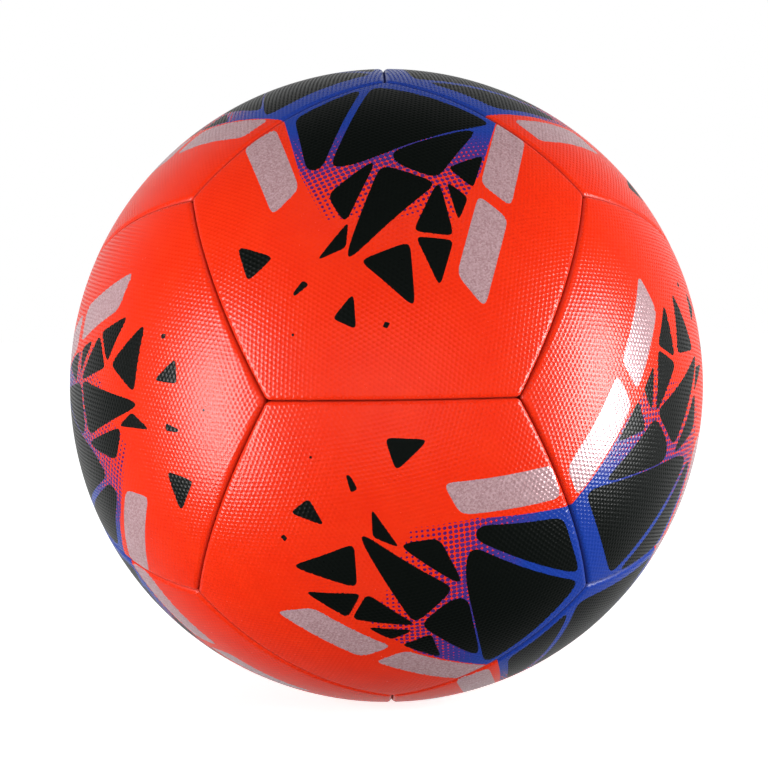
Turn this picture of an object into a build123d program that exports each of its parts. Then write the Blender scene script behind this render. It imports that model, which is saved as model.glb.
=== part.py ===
"""Size 5 football: twelve stitched five-sided panels round a rubber bladder.

Each panel is three layers: a moulded cover whose rim turns in to the seam, a foam pad and a cloth
lining. A lockstitch runs along each of the thirty seams, through the turned-in rims of the two
panels that meet there. The bladder has a rubber valve seat, and a valve core that pulls out of it.

The origin is the ball's centre and +Z is up. The three axes pass through the middles of six seams.
"""

import os
from math import asin, atan, cos, degrees, radians, sin, sqrt

from build123d import *

# Driving dimensions, in millimetres
ball_radius = 109.8  # a circumference of 690, in the middle of what size 5 allows
cover_thickness = 1.3
foam_thickness = 2.4
lining_thickness = 0.8
bladder_thickness = 0.7
glue_gap = 0.03  # between layers that are glued together
seam_gap = 0.05  # from a panel's rim to the middle of the seam

edge_roll = 1.8  # radius with which a cover turns in to its seam
corner_round = 2.6  # radius of a cover's five corners
foam_edge_round = 0.9  # clear of the bend in the cover

thread_width = 0.9  # pulled tight, it lies flat along the seam
thread_thickness = 0.5
thread_radius = 0.35  # where it goes through a stitch hole
thread_clearance = 0.05
stitch_depth = 3.0  # of the stitch line below the ball's surface
stitch_pitch = 5.0
stitches_per_seam = 15

valve_recess = 0.5  # of the valve's top below the cover
seat_neck_radius = 3.55  # the part of the valve seat that shows in the cover
neck_clearance = 0.05
seat_stem_radius = 4.8
seat_stem_length = 20.0
seat_stem_round = 1.5
seat_flange_radius = 13.0
seat_flange_thickness = 1.2
valve_patch_radius = 18.0
valve_patch_thickness = 0.6
core_head_radius = 2.7
core_head_height = 1.8
core_shank_radius = 2.3
core_length = 22.0
core_tip_round = 0.9
core_clearance = 0.05  # all round, so that the core slides
needle_radius = 1.0
needle_depth = 17.0
needle_mouth_radius = 1.7
needle_mouth_depth = 0.7
slit_length = 2.6  # the closed slit in the core's tip that the needle parts
slit_width = 0.2

# Radii that follow, from the outside in
foam_radius = ball_radius - cover_thickness - glue_gap
lining_radius = foam_radius - foam_thickness - glue_gap
panel_floor_radius = lining_radius - lining_thickness
bladder_radius = panel_floor_radius - glue_gap
patch_radius = bladder_radius - bladder_thickness - glue_gap
flange_radius = patch_radius - valve_patch_thickness - glue_gap
valve_top = ball_radius - valve_recess
stitch_radius = ball_radius - stitch_depth
stitch_run = degrees(stitch_pitch / stitch_radius) * (stitches_per_seam - 1)
inner_rim = seam_gap + cover_thickness + glue_gap  # from the seam to the layers inside a cover

# The panels are the twelve faces of a dodecahedron drawn on the ball
golden = (1 + sqrt(5)) / 2
side_slope = atan(1 / golden)  # between a panel's axis and the middle of its side
poles_aside = (0, 90, 0)  # turns a sphere so that its poles and its join lie outside the panel

panel_normals = [
    Vector(*axis).normalized()
    for short in (1, -1)
    for long in (golden, -golden)
    for axis in ((0, long, short), (long, short, 0), (short, 0, long))
]

# Four corners, where three panels' upper ends meet, say which way up each panel is
upper_corners = [
    Vector(0, -1 / golden, golden).normalized(),
    Vector(1, -1, -1).normalized(),
    Vector(1 / golden, golden, 0).normalized(),
    Vector(-golden, 0, -1 / golden).normalized(),
]


def panel_plane(normal):
    """A panel's own plane: z out along its axis, y towards its upper corner."""
    corner = max(upper_corners, key=normal.dot)
    return Plane(origin=(0, 0, 0), x_dir=corner.cross(normal), z_dir=normal)


def side_plane(side):
    """The seam's plane on one side of a panel: x out through the seam's middle, z off the panel."""
    outward = Vector(0, -1, 0).rotate(Axis.Z, 72 * side)
    axis = Vector(0, 0, 1)
    middle = outward * sin(side_slope) + axis * cos(side_slope)
    off_panel = outward * cos(side_slope) - axis * sin(side_slope)
    return Plane(origin=(0, 0, 0), x_dir=middle, z_dir=off_panel)


side_planes = [side_plane(side) for side in range(5)]

# A seam runs between each two panels that lean towards each other
seam_planes = [
    Plane(origin=(0, 0, 0), x_dir=one + other, z_dir=one - other)
    for place, one in enumerate(panel_normals)
    for other in panel_normals[place + 1 :]
    if one.dot(other) > 0
]


def panel_block(top_radius, floor_radius, rim, edge_round=0):
    """A panel-shaped block between two spheres, its walls set back from the seams by the rim."""
    with BuildPart() as block:
        Sphere(top_radius, rotation=poles_aside)
        Sphere(floor_radius, rotation=poles_aside, mode=Mode.SUBTRACT)
        for plane in side_planes:
            split(bisect_by=plane.offset(-rim), keep=Keep.BOTTOM)
        upright = block.edges().filter_by(GeomType.LINE)
        fillet(upright, corner_round + seam_gap - rim)
        if edge_round:
            top = block.faces().filter_by(GeomType.SPHERE).sort_by(SortBy.AREA)[-1]
            fillet(top.edges(), edge_round)
    return block.part


def thread_run(width, low, high):
    """Flat thread along one side of a seam, between two distances from the seam's plane."""
    with BuildPart() as thread:
        with BuildSketch(Plane.XY.offset(low)):
            SlotArc(CenterArc((0, 0), stitch_radius, -stitch_run / 2, stitch_run), width)
        extrude(amount=high - low)
    return thread.part


def along_stitches():
    """The places of a seam's stitches, in the seam's plane."""
    return PolarLocations(
        stitch_radius, stitches_per_seam, -stitch_run / 2, stitch_run, endpoint=True
    )


def valve_hole():
    """The round hole through the panel and the bladder for the neck of the valve seat."""
    length = 2 * (ball_radius - flange_radius)
    with Locations((0, 0, ball_radius)):
        Cylinder(seat_neck_radius + neck_clearance, length, mode=Mode.SUBTRACT)


def make_cover(has_valve):
    """Moulded outer skin: a domed top and five turned-in rims with a row of stitch holes each."""
    with BuildPart() as cover:
        add(panel_block(ball_radius, panel_floor_radius, seam_gap, edge_roll))
        top = ball_radius - cover_thickness
        below = panel_floor_radius - cover_thickness
        rim = seam_gap + cover_thickness
        inner_roll = edge_roll - cover_thickness
        add(panel_block(top, below, rim, inner_roll), mode=Mode.SUBTRACT)
        with Locations(*side_planes):
            with along_stitches():
                Cylinder(thread_radius + thread_clearance, 4 * inner_rim, mode=Mode.SUBTRACT)
        if has_valve:
            valve_hole()
    return cover.part


def make_foam(has_valve):
    """Foam pad under the cover, with a groove along each side for the thread."""
    width = thread_width + 2 * thread_clearance
    groove_floor = -inner_rim - thread_thickness - thread_clearance
    with BuildPart() as foam:
        add(panel_block(foam_radius, lining_radius + glue_gap, inner_rim, foam_edge_round))
        with Locations(*side_planes):
            add(thread_run(width, groove_floor, -seam_gap), mode=Mode.SUBTRACT)
        if has_valve:
            valve_hole()
    return foam.part


def make_lining(has_valve):
    """Cloth lining under the foam."""
    with BuildPart() as lining:
        add(panel_block(lining_radius, panel_floor_radius, inner_rim))
        if has_valve:
            valve_hole()
    return lining.part


def make_seam_stitches():
    """One seam's lockstitch: a run of thread on each side, joined through every stitch hole."""
    outer_face = inner_rim + thread_thickness
    with BuildPart() as stitches:
        add(thread_run(thread_width, inner_rim, outer_face))
        add(thread_run(thread_width, -outer_face, -inner_rim))
        with along_stitches():
            Cylinder(thread_radius, inner_rim + outer_face)
    return stitches.part


def make_bladder():
    """Thin rubber sphere with a hole for the valve."""
    with BuildPart() as bladder:
        Sphere(bladder_radius, rotation=poles_aside)
        Sphere(bladder_radius - bladder_thickness, rotation=poles_aside, mode=Mode.SUBTRACT)
        valve_hole()
    return bladder.part


def curved_disc(radius, thickness, disc_radius):
    """Disc that follows the inside of the bladder."""
    with BuildPart() as disc:
        Sphere(radius, rotation=poles_aside)
        Sphere(radius - thickness, rotation=poles_aside, mode=Mode.SUBTRACT)
        with Locations((0, 0, radius)):
            Cylinder(disc_radius, radius, mode=Mode.INTERSECT)
    return disc.part


def make_valve_patch():
    """Rubberised disc that strengthens the bladder round the valve."""
    with BuildPart() as patch:
        add(curved_disc(patch_radius, valve_patch_thickness, valve_patch_radius))
        valve_hole()
    return patch.part


def downward(radius, top, bottom):
    """Round bar between two heights on the valve's axis."""
    with Locations((0, 0, top)):
        Cylinder(radius, top - bottom, align=(Align.CENTER, Align.CENTER, Align.MAX))


def make_valve_seat():
    """Rubber housing on the bladder: a neck through the panel, a flange inside and a stem."""
    stem_top = flange_radius - seat_flange_thickness / 2
    with BuildPart() as seat:
        add(curved_disc(flange_radius, seat_flange_thickness, seat_flange_radius))
        downward(seat_neck_radius, valve_top, stem_top)
        downward(seat_stem_radius, stem_top, stem_top - seat_stem_length)
        fillet(seat.edges().filter_by(GeomType.CIRCLE).sort_by(Axis.Z)[0], seat_stem_round)
        with Locations((0, 0, valve_top)):
            CounterBoreHole(
                core_shank_radius + core_clearance,
                core_head_radius + core_clearance,
                core_head_height + core_clearance,
            )
    return seat.part


def make_valve_core():
    """Rubber plug with the channel for an inflating needle, closed by a slit at its tip."""
    tip = valve_top - core_length
    with BuildPart() as core:
        downward(core_head_radius, valve_top, valve_top - core_head_height)
        downward(core_shank_radius, valve_top - core_head_height, tip)
        fillet(core.edges().filter_by(GeomType.CIRCLE).sort_by(Axis.Z)[0], core_tip_round)
        with Locations((0, 0, valve_top)):
            Hole(needle_radius, depth=needle_depth)
            Cone(
                needle_radius,
                needle_mouth_radius,
                needle_mouth_depth,
                align=(Align.CENTER, Align.CENTER, Align.MAX),
                mode=Mode.SUBTRACT,
            )
        with Locations((0, 0, tip)):
            Box(slit_length, slit_width, 2 * (core_length - needle_depth), mode=Mode.SUBTRACT)
    return core.part


def write_piece(shape, planes, name):
    """Put a piece that was made in its own frame in its place, or places, and write it."""
    with BuildPart() as piece:
        with Locations(*planes):
            add(shape)
    piece.part.label = name
    export_step(piece.part, f"parts/{name}.step")


os.makedirs("parts", exist_ok=True)

valve_normal = Vector(0, golden, 1).normalized()
layers = {"cover": make_cover, "foam": make_foam, "lining": make_lining}
for layer, make_layer in layers.items():
    plain, with_valve = make_layer(has_valve=False), make_layer(has_valve=True)
    for number, normal in enumerate(panel_normals, 1):
        shape = with_valve if normal == valve_normal else plain
        write_piece(shape, [panel_plane(normal)], f"panel_{number:02d}_{layer}")

write_piece(make_seam_stitches(), seam_planes, "seam_thread")

valve_place = [panel_plane(valve_normal)]
write_piece(make_bladder(), valve_place, "bladder")
write_piece(make_valve_patch(), valve_place, "valve_patch")
write_piece(make_valve_seat(), valve_place, "valve_seat")
write_piece(make_valve_core(), valve_place, "valve_core")
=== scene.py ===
from math import acos, asin, cos, hypot, pi, radians, sin, sqrt, tau

import bmesh
import bpy
import numpy as np
from mathutils import Matrix, Vector, noise


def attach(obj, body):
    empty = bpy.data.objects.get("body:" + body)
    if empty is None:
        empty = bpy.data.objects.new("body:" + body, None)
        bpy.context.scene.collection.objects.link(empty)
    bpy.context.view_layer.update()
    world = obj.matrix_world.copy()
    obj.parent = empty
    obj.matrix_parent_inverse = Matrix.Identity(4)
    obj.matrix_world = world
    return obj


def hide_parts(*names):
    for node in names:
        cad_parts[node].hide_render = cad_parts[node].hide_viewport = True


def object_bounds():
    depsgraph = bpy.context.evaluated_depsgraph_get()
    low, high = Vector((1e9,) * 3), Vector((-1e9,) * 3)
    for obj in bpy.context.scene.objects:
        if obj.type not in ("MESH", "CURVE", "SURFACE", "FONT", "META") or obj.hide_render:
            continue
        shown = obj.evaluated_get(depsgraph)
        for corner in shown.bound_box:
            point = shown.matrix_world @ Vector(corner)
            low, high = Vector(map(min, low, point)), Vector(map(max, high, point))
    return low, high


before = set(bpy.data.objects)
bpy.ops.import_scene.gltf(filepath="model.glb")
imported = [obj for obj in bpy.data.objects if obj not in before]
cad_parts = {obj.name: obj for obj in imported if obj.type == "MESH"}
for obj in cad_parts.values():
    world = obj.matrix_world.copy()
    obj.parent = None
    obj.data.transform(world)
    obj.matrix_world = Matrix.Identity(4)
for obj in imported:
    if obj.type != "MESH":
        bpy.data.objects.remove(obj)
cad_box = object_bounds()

MM = 0.001

# Sizes shared with the CAD part
BALL_RADIUS = 109.8 * MM
COVER_THICKNESS = 1.3 * MM
COVER_DEPTH = 4.56 * MM  # from the ball's surface to the bottom of a turned-in rim
CORNER_ROUND = 2.6 * MM
STITCH_PITCH = 5.0 * MM
VALVE_HOLE_RADIUS = 3.6 * MM

# The skin's edge, a little closer and tighter in the seam than the CAD's 0.05 mm and 1.8 mm
SEAM_GAP = 0.03 * MM  # from a rim to the middle of its seam
EDGE_ROLL = 1.7 * MM
INNER_ROLL = 0.5 * MM
ROLL_STEPS = 6

# The embossing
DIMPLE_PITCH = 1.62 * MM
DIMPLE_DEPTH = 0.34 * MM
DIMPLE_FADE = 0.5 * MM  # over which the dimples die out beside a seam
PLAIN_RIM = 0.5 * MM  # the embossing stops this far from the seam
STITCH_PULL = 0.6 * MM  # each stitch draws the rim in by this much
FOLD_START = 0.42 * MM  # deeper than this the skin counts as folded into the seam
FOLD_DEPTH = 0.6 * MM
SWELL = 0.09 * MM  # slow unevenness of the hand-made skin
SWELL_LENGTH = 14.0 * MM
INNER_ROWS = 12
NET_REACH = 85 * MM  # half the width of the net that a panel is cut from
SNAP = 0.15 * MM  # net points this near a cut move onto it
CORNER_ZONE = 4.5 * MM  # the rim is cut finer this near a corner
HOLE_ROLL = 0.9 * MM  # the edge of the valve hole is rounded over this width

GOLDEN = (1 + sqrt(5)) / 2
CORNER_ANGLE = acos(sqrt((5 + 2 * sqrt(5)) / 15))  # from a panel's middle to its corner
PRINT_SPAN = 160.0  # millimetres of panel across one unit of its UV map


# ---------------------------------------------------------------- where the panels lie

panel_normals = [
    Vector(axis).normalized()
    for short in (1, -1)
    for long in (GOLDEN, -GOLDEN)
    for axis in ((0, long, short), (long, short, 0), (short, 0, long))
]

# Three panels' upper ends meet at each of these corners
upper_corners = [
    Vector((0, -1 / GOLDEN, GOLDEN)).normalized(),
    Vector((1, -1, -1)).normalized(),
    Vector((1 / GOLDEN, GOLDEN, 0)).normalized(),
    Vector((-GOLDEN, 0, -1 / GOLDEN)).normalized(),
]


def panel_matrix(normal):
    """Turns a panel's own frame, z outward and y towards its upper corner, into the ball's."""
    corner = max(upper_corners, key=normal.dot)
    across = corner.cross(normal).normalized()
    return Matrix((across, normal.cross(across), normal)).transposed()


def side_directions(side):
    """Off the panel across one side, and along that side, in the panel's own frame."""
    turn = Matrix.Rotation(tau / 5 * side, 3, "Z")
    length = sqrt(1 + GOLDEN**2)
    off_panel = turn @ Vector((0, -GOLDEN / length, -1 / length))
    along = turn @ Vector((1, 0, 0))
    return off_panel, along


SIDES = [side_directions(side) for side in range(5)]


# ---------------------------------------------------------------- one panel's skin

def dome_point(x, y):
    """The point on the ball that lies this far from the panel's middle, along the surface."""
    reach = hypot(x, y)
    if reach == 0:
        return Vector((0, 0, BALL_RADIUS))
    turn = reach / BALL_RADIUS
    spread = sin(turn) * BALL_RADIUS / reach
    return Vector((x * spread, y * spread, cos(turn) * BALL_RADIUS))


def flat_place(point):
    """The inverse of dome_point."""
    reach = hypot(point.x, point.y)
    if reach == 0:
        return 0.0, 0.0
    spread = acos(point.z / point.length) * BALL_RADIUS / reach
    return point.x * spread, point.y * spread


def rim_distance(point):
    """How far a point on the ball is from the seams' rounded outline, and the way to it."""
    gaps = sorted((-point.dot(off_panel), number) for number, (off_panel, _) in enumerate(SIDES))
    (near, one), (next_near, other) = gaps[:2]
    inside_one = CORNER_ROUND - near
    inside_other = CORNER_ROUND - next_near
    way = SIDES[one][0]
    if inside_other <= inside_one / 2:
        return near, way
    # The two sides' directions are 60 degrees apart on the surface
    share_one = (inside_one - inside_other / 2) / 0.75
    share_other = (inside_other - inside_one / 2) / 0.75
    out = SIDES[one][0] * share_one + SIDES[other][0] * share_other
    return CORNER_ROUND - out.length, out.normalized()


def moved_to_rim(point, distance):
    """The point moved straight towards the seam until it is this far from the outline."""
    for _ in range(4):
        now, way = rim_distance(point)
        point = (point + way * (now - distance)).normalized() * BALL_RADIUS
    return point


def roll_drop(distance):
    """How far the rolled edge has dropped below the ball at a distance from the outline."""
    in_roll = max(0.0, EDGE_ROLL + SEAM_GAP - distance)
    return EDGE_ROLL - sqrt(EDGE_ROLL**2 - min(in_roll, EDGE_ROLL) ** 2)


def stitch_pull(point):
    """How much the nearest stitch draws the skin in, from 0 between stitches to 1 at one."""
    off_panel, along = max(SIDES, key=lambda side: point.dot(side[0]))
    return (0.5 + 0.5 * cos(tau * point.dot(along) / STITCH_PITCH)) ** 2


def dimple(x, y):
    """Depth of the hexagonal embossing: 1 in the middle of a dimple and 0 on the flat net."""
    wave = tau / DIMPLE_PITCH
    slant = y / sqrt(3)
    total = cos(wave * (x - slant)) + cos(wave * (x + slant)) + cos(wave * 2 * slant)
    return max(0.0, total / 3)


def smooth_step(value):
    value = min(1.0, max(0.0, value))
    return value * value * (3 - 2 * value)


def extruded_row(bm, edges, place):
    """Draws a closed run of edges out into one more row, each new point where place() says."""
    drawn = bmesh.ops.extrude_edge_only(bm, edges=edges)["geom"]
    for vert in drawn:
        if isinstance(vert, bmesh.types.BMVert):
            vert.co = place(vert.co)
    return [edge for edge in drawn if isinstance(edge, bmesh.types.BMEdge)]


def boundary(bm, near_middle):
    """The open edges around the valve hole, or those along the seams."""
    middle_reach = 12 * MM
    return [
        edge
        for edge in bm.edges
        if edge.is_boundary and (hypot(*edge.verts[0].co.xy) < middle_reach) == near_middle
    ]


def make_skin(has_valve):
    """A panel's moulded skin in its own frame: embossed dome, rolled rims, flanges and inside."""
    bm = bmesh.new()

    # A triangular net with three points to each dimple, bent over the ball
    step = DIMPLE_PITCH / 3
    count = 2 * round(NET_REACH / step)
    half = count * step / 2
    bmesh.ops.create_grid(bm, x_segments=count, y_segments=count, size=half)
    middle_row = count // 2
    for vert in bm.verts:
        row = round((vert.co.y + half) / step) - middle_row
        vert.co.x += step / 2 * (row % 2)
        vert.co.y = row * step * sqrt(3) / 2
    bmesh.ops.triangulate(bm, faces=bm.faces[:], quad_method="SHORT_EDGE")
    for vert in bm.verts:
        vert.co = dome_point(vert.co.x, vert.co.y)

    # Cut to the panel's five sides, then round the cut's corners
    for off_panel, _ in SIDES:
        bmesh.ops.bisect_plane(
            bm,
            geom=bm.verts[:] + bm.edges[:] + bm.faces[:],
            dist=SNAP,
            plane_co=-off_panel * PLAIN_RIM,
            plane_no=off_panel,
            clear_outer=True,
        )
    corner_reach = BALL_RADIUS * CORNER_ANGLE - CORNER_ZONE
    bmesh.ops.subdivide_edges(
        bm,
        edges=[
            edge
            for edge in boundary(bm, False)
            if min(hypot(*flat_place(vert.co)) for vert in edge.verts) > corner_reach
        ],
        cuts=1,
    )
    rim = boundary(bm, False)
    for vert in {vert for edge in rim for vert in edge.verts}:
        vert.co = moved_to_rim(vert.co, PLAIN_RIM)

    # The hole for the valve
    hole_edge = VALVE_HOLE_RADIUS + HOLE_ROLL
    if has_valve:
        inside = [vert for vert in bm.verts if hypot(*flat_place(vert.co)) < hole_edge]
        bmesh.ops.delete(bm, geom=inside, context="VERTS")
        for vert in {vert for edge in boundary(bm, True) for vert in edge.verts}:
            x, y = flat_place(vert.co)
            out = hole_edge / hypot(x, y)
            vert.co = dome_point(x * out, y * out)

    # Press the dimples in, with the slow swell of a skin pulled over foam
    for vert in bm.verts:
        x, y = flat_place(vert.co)
        distance, _ = rim_distance(vert.co)
        pressed = smooth_step((distance - PLAIN_RIM) / DIMPLE_FADE)
        if has_valve:
            pressed *= smooth_step((hypot(x, y) - hole_edge) / DIMPLE_FADE)
        swell = SWELL * (0.5 + 0.5 * noise.noise(vert.co / SWELL_LENGTH)) * pressed
        depth = dimple(x, y) * DIMPLE_DEPTH * pressed + swell + roll_drop(distance)
        vert.co *= 1 - depth / BALL_RADIUS

    # Roll the rim down into the seam, one row of points after another
    flange = rim
    rolled = asin(1 - (PLAIN_RIM - SEAM_GAP) / EDGE_ROLL)
    for number in range(1, ROLL_STEPS + 1):
        turn = rolled + (pi / 2 - rolled) * number / ROLL_STEPS
        distance = SEAM_GAP + EDGE_ROLL * (1 - sin(turn))
        pull = STITCH_PULL * (sin(turn) - sin(rolled)) ** 2

        def on_roll(point):
            point = moved_to_rim(point.normalized() * BALL_RADIUS, distance)
            drop = roll_drop(distance) + pull * stitch_pull(point)
            return point * (1 - drop / BALL_RADIUS)

        flange = extruded_row(bm, flange, on_roll)

    # The flange, its lower edge, its inside and the inside of the dome
    inner = SEAM_GAP + COVER_THICKNESS
    for distance, depth in (
        (SEAM_GAP, COVER_DEPTH),
        (inner, COVER_DEPTH),
        (inner, COVER_THICKNESS + INNER_ROLL),
        (inner + INNER_ROLL, COVER_THICKNESS),
    ):
        shrink = 1 - depth / BALL_RADIUS
        flange = extruded_row(
            bm,
            flange,
            lambda point: moved_to_rim(point.normalized() * BALL_RADIUS, distance) * shrink,
        )
    for row in range(1, INNER_ROWS):
        keep = 1 - 1 / (INNER_ROWS - row + 1)

        def towards_middle(point):
            x, y = flat_place(point)
            return dome_point(x * keep, y * keep) * (1 - COVER_THICKNESS / BALL_RADIUS)

        flange = extruded_row(bm, flange, towards_middle)

    if has_valve:
        hole = boundary(bm, True)
        hole = [edge for edge in hole if edge not in set(flange)]
        for radius, depth in (
            (VALVE_HOLE_RADIUS + 0.5 * MM, 0.05 * MM),
            (VALVE_HOLE_RADIUS + 0.2 * MM, 0.18 * MM),
            (VALVE_HOLE_RADIUS + 0.05 * MM, 0.42 * MM),
            (VALVE_HOLE_RADIUS, 0.8 * MM),
            (VALVE_HOLE_RADIUS, COVER_THICKNESS),
        ):

            def on_hole(point):
                x, y = flat_place(point)
                out = radius / hypot(x, y)
                return dome_point(x * out, y * out) * (1 - depth / BALL_RADIUS)

            hole = extruded_row(bm, hole, on_hole)
        bmesh.ops.bridge_loops(bm, edges=hole + flange)
    else:
        middle = Vector((0, 0, BALL_RADIUS - COVER_THICKNESS))
        last = list({vert for edge in flange for vert in edge.verts})
        bmesh.ops.pointmerge(bm, verts=last, merge_co=middle)

    bmesh.ops.triangulate(bm, faces=bm.faces[:])
    bmesh.ops.recalc_face_normals(bm, faces=bm.faces[:])
    for face in bm.faces:
        face.smooth = True
    mesh = bpy.data.meshes.new("skin_with_valve" if has_valve else "skin")
    bm.to_mesh(mesh)
    bm.free()
    return mesh


def add_print_map(mesh, to_panel, shift, turn):
    """Lays the print on the skin: a UV map that holds each point's place on the panel.

    The attribute fold runs from 0 on the panel to 1 down in the seam.
    """
    layer = mesh.uv_layers.new(name="print")
    points = np.empty(len(mesh.vertices) * 3)
    mesh.vertices.foreach_get("co", points)
    points = points.reshape(-1, 3) @ np.array(to_panel.inverted()).T
    sunk = BALL_RADIUS - np.linalg.norm(points, axis=1) - FOLD_START
    fold = mesh.attributes.new("fold", "FLOAT", "POINT")
    fold.data.foreach_set("value", np.clip(sunk / FOLD_DEPTH, 0, 1))
    reach = np.maximum(np.hypot(points[:, 0], points[:, 1]), 1e-9)
    spread = np.arctan2(reach, points[:, 2]) * BALL_RADIUS / MM / reach
    x = points[:, 0] * spread
    y = points[:, 1] * spread
    u = x * cos(turn) + y * sin(turn) - shift[0]
    v = y * cos(turn) - x * sin(turn) - shift[1]
    corners = np.empty(len(mesh.loops), dtype=np.int64)
    mesh.loops.foreach_get("vertex_index", corners)
    flat = 0.5 + np.column_stack((u, v))[corners] / PRINT_SPAN
    layer.data.foreach_set("uv", flat.ravel())


# ---------------------------------------------------------------- materials

def linear(hex_colour):
    """An sRGB hex colour as the linear RGBA that shaders take."""
    channels = [int(hex_colour[start : start + 2], 16) / 255 for start in (1, 3, 5)]
    return [
        value / 12.92 if value <= 0.04045 else ((value + 0.055) / 1.055) ** 2.4
        for value in channels
    ] + [1.0]


def add_node(tree, kind, inputs=(), **settings):
    """Adds a node with its settings; an input is a value, a socket, or a node's first output."""
    node = tree.nodes.new(kind)
    for name, value in settings.items():
        setattr(node, name, value)
    for socket, value in dict(inputs).items():
        if isinstance(value, bpy.types.Node):
            value = value.outputs[0]
        if isinstance(value, bpy.types.NodeSocket):
            tree.links.new(value, node.inputs[socket])
        else:
            node.inputs[socket].default_value = value
    return node


def new_material(name):
    """An empty material with its shader, and its node tree."""
    material = bpy.data.materials.new(name)
    material.use_nodes = True
    tree = material.node_tree
    tree.nodes.clear()
    shader = add_node(tree, "ShaderNodeBsdfPrincipled")
    add_node(tree, "ShaderNodeOutputMaterial", {"Surface": shader.outputs["BSDF"]})
    return material, tree, shader


def beyond_line(tree, place, start, end):
    """Millimetres to the right of the line from start to end, negative on its left."""
    along = Vector(end) - Vector(start)
    out = Vector((along.y, -along.x)).normalized()
    inputs = {0: place, 1: (out.x, out.y, -out.dot(Vector(start)))}
    dot = add_node(tree, "ShaderNodeVectorMath", inputs, operation="DOT_PRODUCT")
    return dot.outputs["Value"]


def outline(tree, place, corners, rounding):
    """Millimetres outside a shape with straight sides, listed anticlockwise, and rounded tips."""
    blend = 3 * rounding
    gap = None
    for start, end in zip(corners, corners[1:] + corners[:1]):
        side = beyond_line(tree, place, start, end)
        if gap is not None:
            inputs = {0: gap, 1: side, 2: blend}
            side = add_node(tree, "ShaderNodeMath", inputs, operation="SMOOTH_MAX")
        gap = side
    return gap


def within_any(tree, place, shapes):
    """1 inside any of several outlines, and 0 elsewhere."""
    nearest = outline(tree, place, *shapes[0])
    for shape in shapes[1:]:
        inputs = {0: nearest, 1: outline(tree, place, *shape)}
        nearest = add_node(tree, "ShaderNodeMath", inputs, operation="MINIMUM")
    return add_node(tree, "ShaderNodeMath", {0: nearest, 1: 0.0}, operation="LESS_THAN")


# The print, in millimetres from a panel's middle, y towards its upper corner:
# sharp splinters of black around a kite, and how far their tips are rounded
black_splinters = [
    ([(-8.0, 64.8), (-31.6, 48.4), (-26.4, 18.6), (-21.6, 18.6)], 2.0),
    ([(-4.6, 66.4), (-19.4, 18.4), (-11.8, 18.4), (36.0, 45.2), (13.0, 60.2)], 2.6),
    ([(0.0, 24.6), (1.3, 19.4), (14.9, 13.4), (30.9, 41.5)], 2.2),
    ([(18.4, 18.8), (26.3, 11.2), (30.9, 27.0)], 1.0),
    ([(-3.1, 23.1), (-20.0, 8.0), (-14.3, -4.1)], 1.8),
    ([(-2.8, 19.2), (-15.9, -19.1), (15.1, 11.9)], 2.2),
    ([(15.3, 13.5), (6.6, -6.9), (19.4, -7.9)], 1.4),
    ([(17.6, 13.0), (21.0, -2.6), (24.5, 7.2)], 0.9),
    ([(7.3, -8.6), (14.6, -25.6), (19.3, -9.2)], 1.1),
    ([(-10.2, -16.6), (6.9, -32.6), (5.6, -10.4)], 1.5),
    ([(-13.2, -2.6), (-23.6, -15.5), (-14.2, -11.9)], 0.7),
    ([(-26.0, -23.0), (-27.9, -21.3), (-31.4, -25.2), (-31.0, -26.4)], 0.5),
    ([(-12.2, -26.9), (-19.0, -34.7), (-11.6, -38.6)], 0.9),
    ([(-49.8, -4.9), (-46.2, -18.6), (-37.2, -11.9)], 1.2),
    ([(-2.6, -36.4), (-3.4, -38.0), (-2.0, -38.6), (-1.0, -36.9)], 0.2),
    ([(-31.4, -38.0), (-32.2, -38.0), (-32.2, -38.8), (-31.4, -38.8)], 0.1),
]
silver_bars = [
    ([(-38.2, 45.2), (-49.0, 38.6), (-37.6, 3.4), (-28.8, 12.2)], 1.5),
    ([(37.6, 47.8), (28.9, 13.6), (38.6, 6.2), (47.0, 40.4)], 1.5),
    ([(27.9, 8.6), (20.0, -20.9), (28.9, -31.0), (37.4, 1.2)], 1.4),
]
# The blue lies on the left of all of these lines
blue_funnel = [
    ((-35.4, 49.5), (-28.7, 18.0)),
    ((-28.7, 18.0), (-22.6, 2.7)),
    ((-30.0, -1.5), (30.0, -1.5)),
    ((24.0, 8.0), (29.1, 18.0)),
    ((29.1, 18.0), (37.4, 48.3)),
]
HALFTONE_PITCH = 1.76
HALFTONE_TURN = radians(22)


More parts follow.
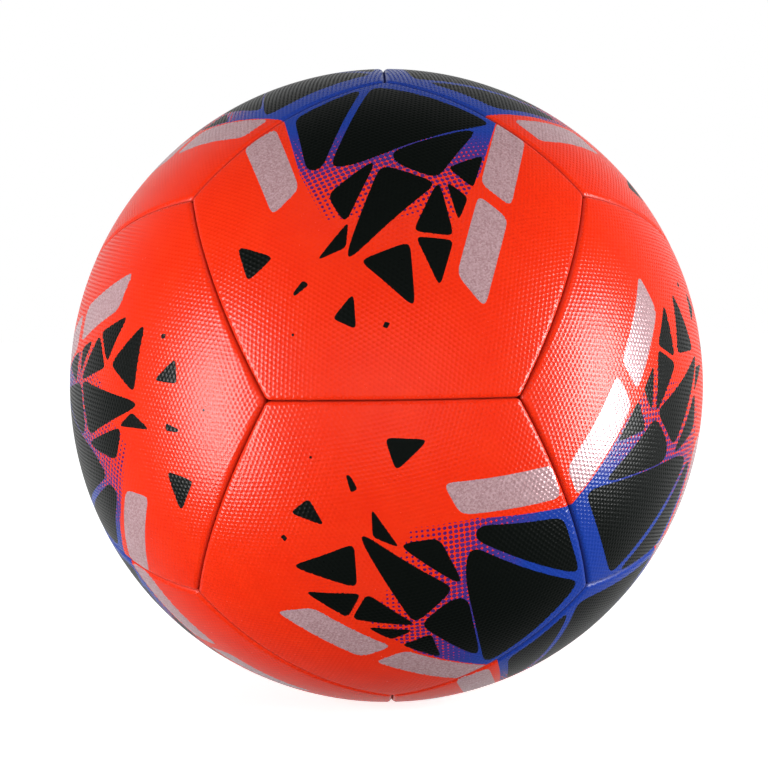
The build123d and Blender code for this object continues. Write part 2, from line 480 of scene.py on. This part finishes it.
def printed_leather():
    """Polyurethane-coated synthetic leather, heat-embossed and screen-printed: satin, saturated."""
    material, tree, shader = new_material("printed_synthetic_leather")
    flat = add_node(tree, "ShaderNodeUVMap", uv_map="print")
    span = (PRINT_SPAN, PRINT_SPAN, 0)
    back = (-PRINT_SPAN / 2, -PRINT_SPAN / 2, 1)
    place = add_node(
        tree,
        "ShaderNodeVectorMath",
        {0: flat.outputs["UV"], 1: span, 2: back},
        operation="MULTIPLY_ADD",
    )
    point = add_node(tree, "ShaderNodeTexCoord").outputs["Object"]
    is_black = within_any(tree, place, black_splinters)
    is_silver = within_any(tree, place, silver_bars)

    # The blue ground fades into dots towards the panel's middle
    funnel = beyond_line(tree, place, *blue_funnel[0])
    for line in blue_funnel[1:]:
        inputs = {0: funnel, 1: beyond_line(tree, place, *line)}
        funnel = add_node(tree, "ShaderNodeMath", inputs, operation="MAXIMUM")
    in_funnel = add_node(tree, "ShaderNodeMath", {0: funnel, 1: 0.0}, operation="LESS_THAN")
    turned = add_node(
        tree,
        "ShaderNodeMapping",
        {"Vector": place, "Rotation": (0, 0, -HALFTONE_TURN), "Scale": [1 / HALFTONE_PITCH] * 3},
    )
    cell = add_node(tree, "ShaderNodeVectorMath", {0: turned}, operation="FRACTION")
    inputs = {0: cell, 1: (1, 1, 0), 2: (-0.5, -0.5, 0)}
    offset = add_node(tree, "ShaderNodeVectorMath", inputs, operation="MULTIPLY_ADD")
    from_dot = add_node(tree, "ShaderNodeVectorMath", {0: offset}, operation="LENGTH")
    height = add_node(tree, "ShaderNodeSeparateXYZ", {0: place}).outputs["Y"]
    dot_size = add_node(
        tree,
        "ShaderNodeMapRange",
        {"Value": height, "From Min": -2.0, "From Max": 44.0, "To Min": 0.2, "To Max": 0.78},
    )
    inputs = {0: from_dot.outputs["Value"], 1: dot_size}
    in_dot = add_node(tree, "ShaderNodeMath", inputs, operation="LESS_THAN")
    is_blue = add_node(tree, "ShaderNodeMath", {0: in_dot, 1: in_funnel}, operation="MULTIPLY")

    # The dye is a little uneven
    cloud = add_node(
        tree, "ShaderNodeTexNoise", {"Vector": point, "Scale": 1 / (9 * MM), "Detail": 3.0}
    )
    red = add_node(
        tree,
        "ShaderNodeMix",
        {"Factor": cloud, "A": linear("#F2340F"), "B": linear("#EB2908")},
        data_type="RGBA",
    )
    # Thin dots of blue over red dry purple, and the solid blue is clear
    solid = add_node(
        tree, "ShaderNodeMapRange", {"Value": height, "From Min": 8.0, "From Max": 40.0}
    )
    blue = add_node(
        tree,
        "ShaderNodeMix",
        {"Factor": solid, "A": linear("#5E1A58"), "B": linear("#1B3C9C")},
        data_type="RGBA",
    )
    # Metal flake in the silver, about 0.05 mm on the real one and coarsened to 0.5 mm to show
    flake = add_node(tree, "ShaderNodeTexVoronoi", {"Vector": point, "Scale": 1 / (0.5 * MM)})
    each_flake = add_node(tree, "ShaderNodeSeparateXYZ", {0: flake.outputs["Color"]})
    silver_ink = add_node(
        tree,
        "ShaderNodeMix",
        {"Factor": each_flake, "A": linear("#C0969B"), "B": linear("#E2BCC1")},
        data_type="RGBA",
    )
    colour = red.outputs["Result"]
    for mask, ink in (
        (is_blue, blue.outputs["Result"]),
        (is_silver, silver_ink.outputs["Result"]),
        (is_black, linear("#0A0E0C")),
    ):
        colour = add_node(
            tree,
            "ShaderNodeMix",
            {"Factor": mask, "A": colour, "B": ink},
            data_type="RGBA",
        ).outputs["Result"]
    # Down in the seams the coating is duller, and its colour darkens towards dark red: painted
    # shade in the crease, with a little dirt
    fold = add_node(tree, "ShaderNodeAttribute", attribute_name="fold").outputs["Fac"]
    seam_shade_and_dirt = add_node(tree, "ShaderNodeMath", {0: fold, 1: 0.45}, operation="MULTIPLY")
    colour = add_node(
        tree,
        "ShaderNodeMix",
        {"Factor": seam_shade_and_dirt, "A": colour, "B": linear("#2A0B08")},
        data_type="RGBA",
    ).outputs["Result"]
    tree.links.new(colour, shader.inputs["Base Color"])

    # The silver ink carries metal flake; the black ink dries duller than the coating
    shine = add_node(tree, "ShaderNodeMath", {0: is_silver, 1: 0.35}, operation="MULTIPLY")
    inputs = {0: shine, 1: is_black}
    shine = add_node(tree, "ShaderNodeMath", inputs, operation="SUBTRACT", use_clamp=True)
    tree.links.new(shine.outputs[0], shader.inputs["Metallic"])
    fine = add_node(
        tree, "ShaderNodeTexNoise", {"Vector": point, "Scale": 1 / (0.9 * MM), "Detail": 2.0}
    )
    rough = 0.2
    for factor, amount in ((fine, 0.1), (is_black, 0.05), (fold, 0.4)):
        inputs = {0: factor, 1: amount, 2: rough}
        rough = add_node(tree, "ShaderNodeMath", inputs, operation="MULTIPLY_ADD")
    tree.links.new(rough.outputs[0], shader.inputs["Roughness"])

    # The black ink also reflects less, 0.28 in place of the coating's 0.5
    inputs = {0: is_black, 1: -0.22, 2: 0.5}
    gloss = add_node(tree, "ShaderNodeMath", inputs, operation="MULTIPLY_ADD")
    tree.links.new(gloss.outputs[0], shader.inputs["Specular IOR Level"])

    # Grain of the coating, about 0.1 mm on the real one and coarsened to 0.4 mm so that it shows
    grain = add_node(
        tree, "ShaderNodeTexNoise", {"Vector": point, "Scale": 1 / (0.4 * MM), "Detail": 2.0}
    )
    bump = add_node(
        tree,
        "ShaderNodeBump",
        {"Height": grain, "Strength": 0.35, "Distance": 0.05 * MM},
    )
    tree.links.new(bump.outputs["Normal"], shader.inputs["Normal"])
    shader.inputs["IOR"].default_value = 1.5
    return material


def grained(name, colours, rough, grain, depth, kind="ShaderNodeTexNoise"):
    """A material with two mixed colours and a fine relief, for rubber, foam and thread."""
    material, tree, shader = new_material(name)
    point = add_node(tree, "ShaderNodeTexCoord").outputs["Object"]
    patchy = add_node(tree, "ShaderNodeTexNoise", {"Vector": point, "Scale": 1 / (12 * MM)})
    mixed = add_node(
        tree,
        "ShaderNodeMix",
        {"Factor": patchy, "A": linear(colours[0]), "B": linear(colours[1])},
        data_type="RGBA",
    )
    relief = add_node(tree, kind, {"Vector": point, "Scale": 1 / grain})
    bump = add_node(tree, "ShaderNodeBump", {"Height": relief, "Distance": depth})
    inputs = {0: relief, 1: 0.15, 2: rough - 0.07}
    spread = add_node(tree, "ShaderNodeMath", inputs, operation="MULTIPLY_ADD")
    tree.links.new(mixed.outputs["Result"], shader.inputs["Base Color"])
    tree.links.new(spread.outputs[0], shader.inputs["Roughness"])
    tree.links.new(bump.outputs["Normal"], shader.inputs["Normal"])
    shader.inputs["IOR"].default_value = 1.52
    return material


def woven_cloth():
    """Plain-woven polyester and cotton, rubber-dipped: matt, with crossing threads."""
    material, tree, shader = new_material("woven_polycotton")
    point = add_node(tree, "ShaderNodeTexCoord").outputs["Object"]
    thread_spacing = 0.6 * MM
    wave_scale = tau / (40 * thread_spacing)
    waves = [
        add_node(
            tree,
            "ShaderNodeTexWave",
            {"Vector": point, "Scale": wave_scale, "Distortion": 0.6},
            bands_direction=direction,
        ).outputs["Fac"]
        for direction in ("X", "Z")
    ]
    weave = add_node(tree, "ShaderNodeMath", dict(enumerate(waves)), operation="MAXIMUM")
    mixed = add_node(
        tree,
        "ShaderNodeMix",
        {"Factor": weave, "A": linear("#B9B3A2"), "B": linear("#E6E1D2")},
        data_type="RGBA",
    )
    bump = add_node(tree, "ShaderNodeBump", {"Height": weave, "Distance": 0.15 * MM})
    tree.links.new(mixed.outputs["Result"], shader.inputs["Base Color"])
    tree.links.new(bump.outputs["Normal"], shader.inputs["Normal"])
    shader.inputs["Roughness"].default_value = 0.85
    return material


# ---------------------------------------------------------------- the ball

leather = printed_leather()
# Closed-cell EVA foam: pale, matt, with pores of about 0.4 mm
foam = grained("eva_foam", ("#DAD8D0", "#CFCDC4"), 0.8, 0.4 * MM, 0.1 * MM, "ShaderNodeTexVoronoi")
lining = woven_cloth()
# Waxed polyester thread: dark and slightly shiny, its twist about 0.5 mm
thread = grained("waxed_polyester_thread", ("#1B1A1D", "#2A282B"), 0.5, 0.5 * MM, 0.12 * MM)
# Moulded butyl rubber: black with a faint grey bloom
bladder = grained("butyl_rubber", ("#17171A", "#232326"), 0.48, 1.5 * MM, 0.05 * MM)
patch = grained("vulcanised_rubber_patch", ("#2B2A2A", "#383636"), 0.6, 0.8 * MM, 0.06 * MM)
# Soft moulded rubber, black for the seat and pale for the core that the needle goes through
seat = grained("moulded_black_rubber", ("#121314", "#1C1D1F"), 0.42, 0.7 * MM, 0.03 * MM)
core = grained("moulded_pale_rubber", ("#D8D6D0", "#CBC9C2"), 0.5, 0.7 * MM, 0.03 * MM)

node_materials = {
    "foam": foam,
    "lining": lining,
    "thread": thread,
    "bladder": bladder,
    "valve_patch": patch,
    "valve_seat": seat,
    "valve_core": core,
}
for name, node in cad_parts.items():
    for ending, material in node_materials.items():
        if name.endswith(ending):
            for material_slot in node.material_slots:
                material_slot.material = material

# How each panel lies: the turn of the embossing, in fifths, and how the print sits on it
panel_lay = {
    1: (1, (1.5, -1.0), radians(0.5)),
    2: (2, (-2.0, 1.5), radians(-0.5)),
    3: (3, (3.25, -4.75), radians(0.5)),
    4: (2, (0.25, -0.25), 0.0),
    5: (4, (2.0, 2.0), radians(1)),
    6: (1, (0.0, 0.0), 0.0),
    7: (3, (-1.5, -2.0), 0.0),
    8: (1, (-4.25, -1.25), radians(-0.5)),
    9: (2, (-4.75, -3.25), radians(-1.5)),
    10: (0, (0.25, 0.0), radians(-0.5)),
    11: (4, (0.0, 0.0), 0.0),
    12: (3, (1.0, -1.5), radians(0.5)),
}
skins = {has_valve: make_skin(has_valve) for has_valve in (True, False)}
for index, normal in enumerate(panel_normals):
    number = index + 1
    fifths, shift, turn = panel_lay[number]
    to_ball = panel_matrix(normal).to_4x4()
    mesh = skins[number == 1].copy()
    mesh.name = f"panel_{number:02d}_skin"
    mesh.transform(to_ball @ Matrix.Rotation(tau / 5 * fifths, 4, "Z"))
    add_print_map(mesh, to_ball.to_3x3(), shift, turn)
    mesh.materials.append(leather)
    skin = bpy.data.objects.new(mesh.name, mesh)
    bpy.context.scene.collection.objects.link(skin)
    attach(skin, "ball")
    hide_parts(f"panel_{number:02d}_cover")
for mesh in skins.values():
    bpy.data.meshes.remove(mesh)


# ---------------------------------------------------------------- floor, light and camera

floor_gap = 0.2 * MM
floor_mesh = bpy.data.meshes.new("floor")
bm = bmesh.new()
bmesh.ops.create_circle(bm, cap_ends=True, segments=96, radius=6.0)
bmesh.ops.translate(bm, verts=bm.verts[:], vec=(0, 0, cad_box[0][2] - floor_gap))
bm.to_mesh(floor_mesh)
bm.free()
floor = bpy.data.objects.new("floor", floor_mesh)
bpy.context.scene.collection.objects.link(floor)
# Matt white paper, which glows with distance so that it runs into the white room with no edge
floor_paint, tree, floor_shader = new_material("matt_white_paper")
floor_shader.inputs["Base Color"].default_value = linear("#F4F4F4")
floor_shader.inputs["Roughness"].default_value = 0.9
floor_shader.inputs["Specular IOR Level"].default_value = 0.1
floor_shader.inputs["Emission Color"].default_value = (1, 1, 1, 1)
away = add_node(
    tree,
    "ShaderNodeVectorMath",
    {0: add_node(tree, "ShaderNodeTexCoord").outputs["Object"]},
    operation="LENGTH",
)
glow = add_node(
    tree,
    "ShaderNodeMapRange",
    {"Value": away.outputs["Value"], "From Min": 0.1, "From Max": 0.9, "To Min": 0.8, "To Max": 1},
)
tree.links.new(glow.outputs[0], floor_shader.inputs["Emission Strength"])
floor_mesh.materials.append(floor_paint)
# Only the camera sees the paper: it doesn't tint the ball or stop the light from below
floor.visible_glossy = False
floor.visible_diffuse = False
floor.visible_shadow = False


def add_light(name, azimuth, elevation, distance, size, power, glossy=True):
    """A soft rectangular light that faces the ball; azimuth 0 is at the camera, 90 on its right."""
    light = bpy.data.lights.new(name, "AREA")
    light.shape = "RECTANGLE"
    light.size, light.size_y = size
    light.energy = power
    lamp = bpy.data.objects.new(name, light)
    turn = radians(azimuth)
    rise = radians(elevation)
    way = Vector((sin(turn) * cos(rise), -cos(turn) * cos(rise), sin(rise)))
    lamp.location = way * distance
    lamp.rotation_euler = way.to_track_quat("Z", "Y").to_euler()
    lamp.visible_glossy = glossy
    bpy.context.scene.collection.objects.link(lamp)


add_light("left_softbox", -60, -4, 1.3, (0.46, 1.1), 17)
add_light("right_softbox", 75, 0, 1.3, (0.38, 0.95), 20)
add_light("top_softbox", 0, 80, 1.6, (1.6, 1.6), 10, glossy=False)
add_light("front_fill", 0, 0, 1.8, (1.4, 1.4), 13, glossy=False)
add_light("floor_bounce", 0, -70, 1.8, (1.4, 1.4), 4, glossy=False)

world = bpy.data.worlds.new("white_room")
bpy.context.scene.world = world
world.use_nodes = True
tree = world.node_tree
tree.nodes.clear()
# The room is brightest behind the ball, and dim on the near side, above and below
way = add_node(tree, "ShaderNodeTexCoord").outputs["Generated"]
parts = add_node(tree, "ShaderNodeSeparateXYZ", {0: way})
depth = add_node(
    tree,
    "ShaderNodeMapRange",
    {"Value": parts.outputs["Y"], "From Min": 0.3, "From Max": 1.0, "To Min": 0.06, "To Max": 0.85},
)
up_or_down = add_node(tree, "ShaderNodeMath", {0: parts.outputs["Z"]}, operation="ABSOLUTE")
height = add_node(
    tree,
    "ShaderNodeMapRange",
    {"Value": up_or_down, "From Min": 0.2, "From Max": 0.8, "To Min": 1.0, "To Max": 0.35},
)
room = add_node(tree, "ShaderNodeMath", {0: depth, 1: height}, operation="MULTIPLY")
seen = add_node(tree, "ShaderNodeLightPath").outputs["Is Camera Ray"]
strength = add_node(tree, "ShaderNodeMath", {0: room, 1: seen}, operation="MAXIMUM")
backdrop = add_node(tree, "ShaderNodeBackground", {"Strength": strength})
backdrop.inputs["Color"].default_value = (1, 1, 1, 1)
add_node(tree, "ShaderNodeOutputWorld", {"Surface": backdrop.outputs[0]})
bpy.context.scene.view_settings.view_transform = "Standard"

# A long lens, just above the ball's middle
camera = bpy.data.cameras.new("camera")
camera.lens = 110.5
camera.shift_x = -0.0032
camera.shift_y = 0.0019
camera_turn = radians(-1.13)
camera_rise = radians(2.37)
camera_roll = radians(-0.71)
camera_distance = 0.8246
back = Vector(
    (
        sin(camera_turn) * cos(camera_rise),
        -cos(camera_turn) * cos(camera_rise),
        sin(camera_rise),
    )
)
right = Vector((cos(camera_turn), sin(camera_turn), 0))
right = right * cos(camera_roll) + back.cross(right) * sin(camera_roll)
pose = Matrix((right, back.cross(right), back)).transposed().to_4x4()
pose.translation = back * camera_distance
viewpoint = bpy.data.objects.new("camera", camera)
viewpoint.matrix_world = pose
bpy.context.scene.collection.objects.link(viewpoint)
bpy.context.scene.camera = viewpoint
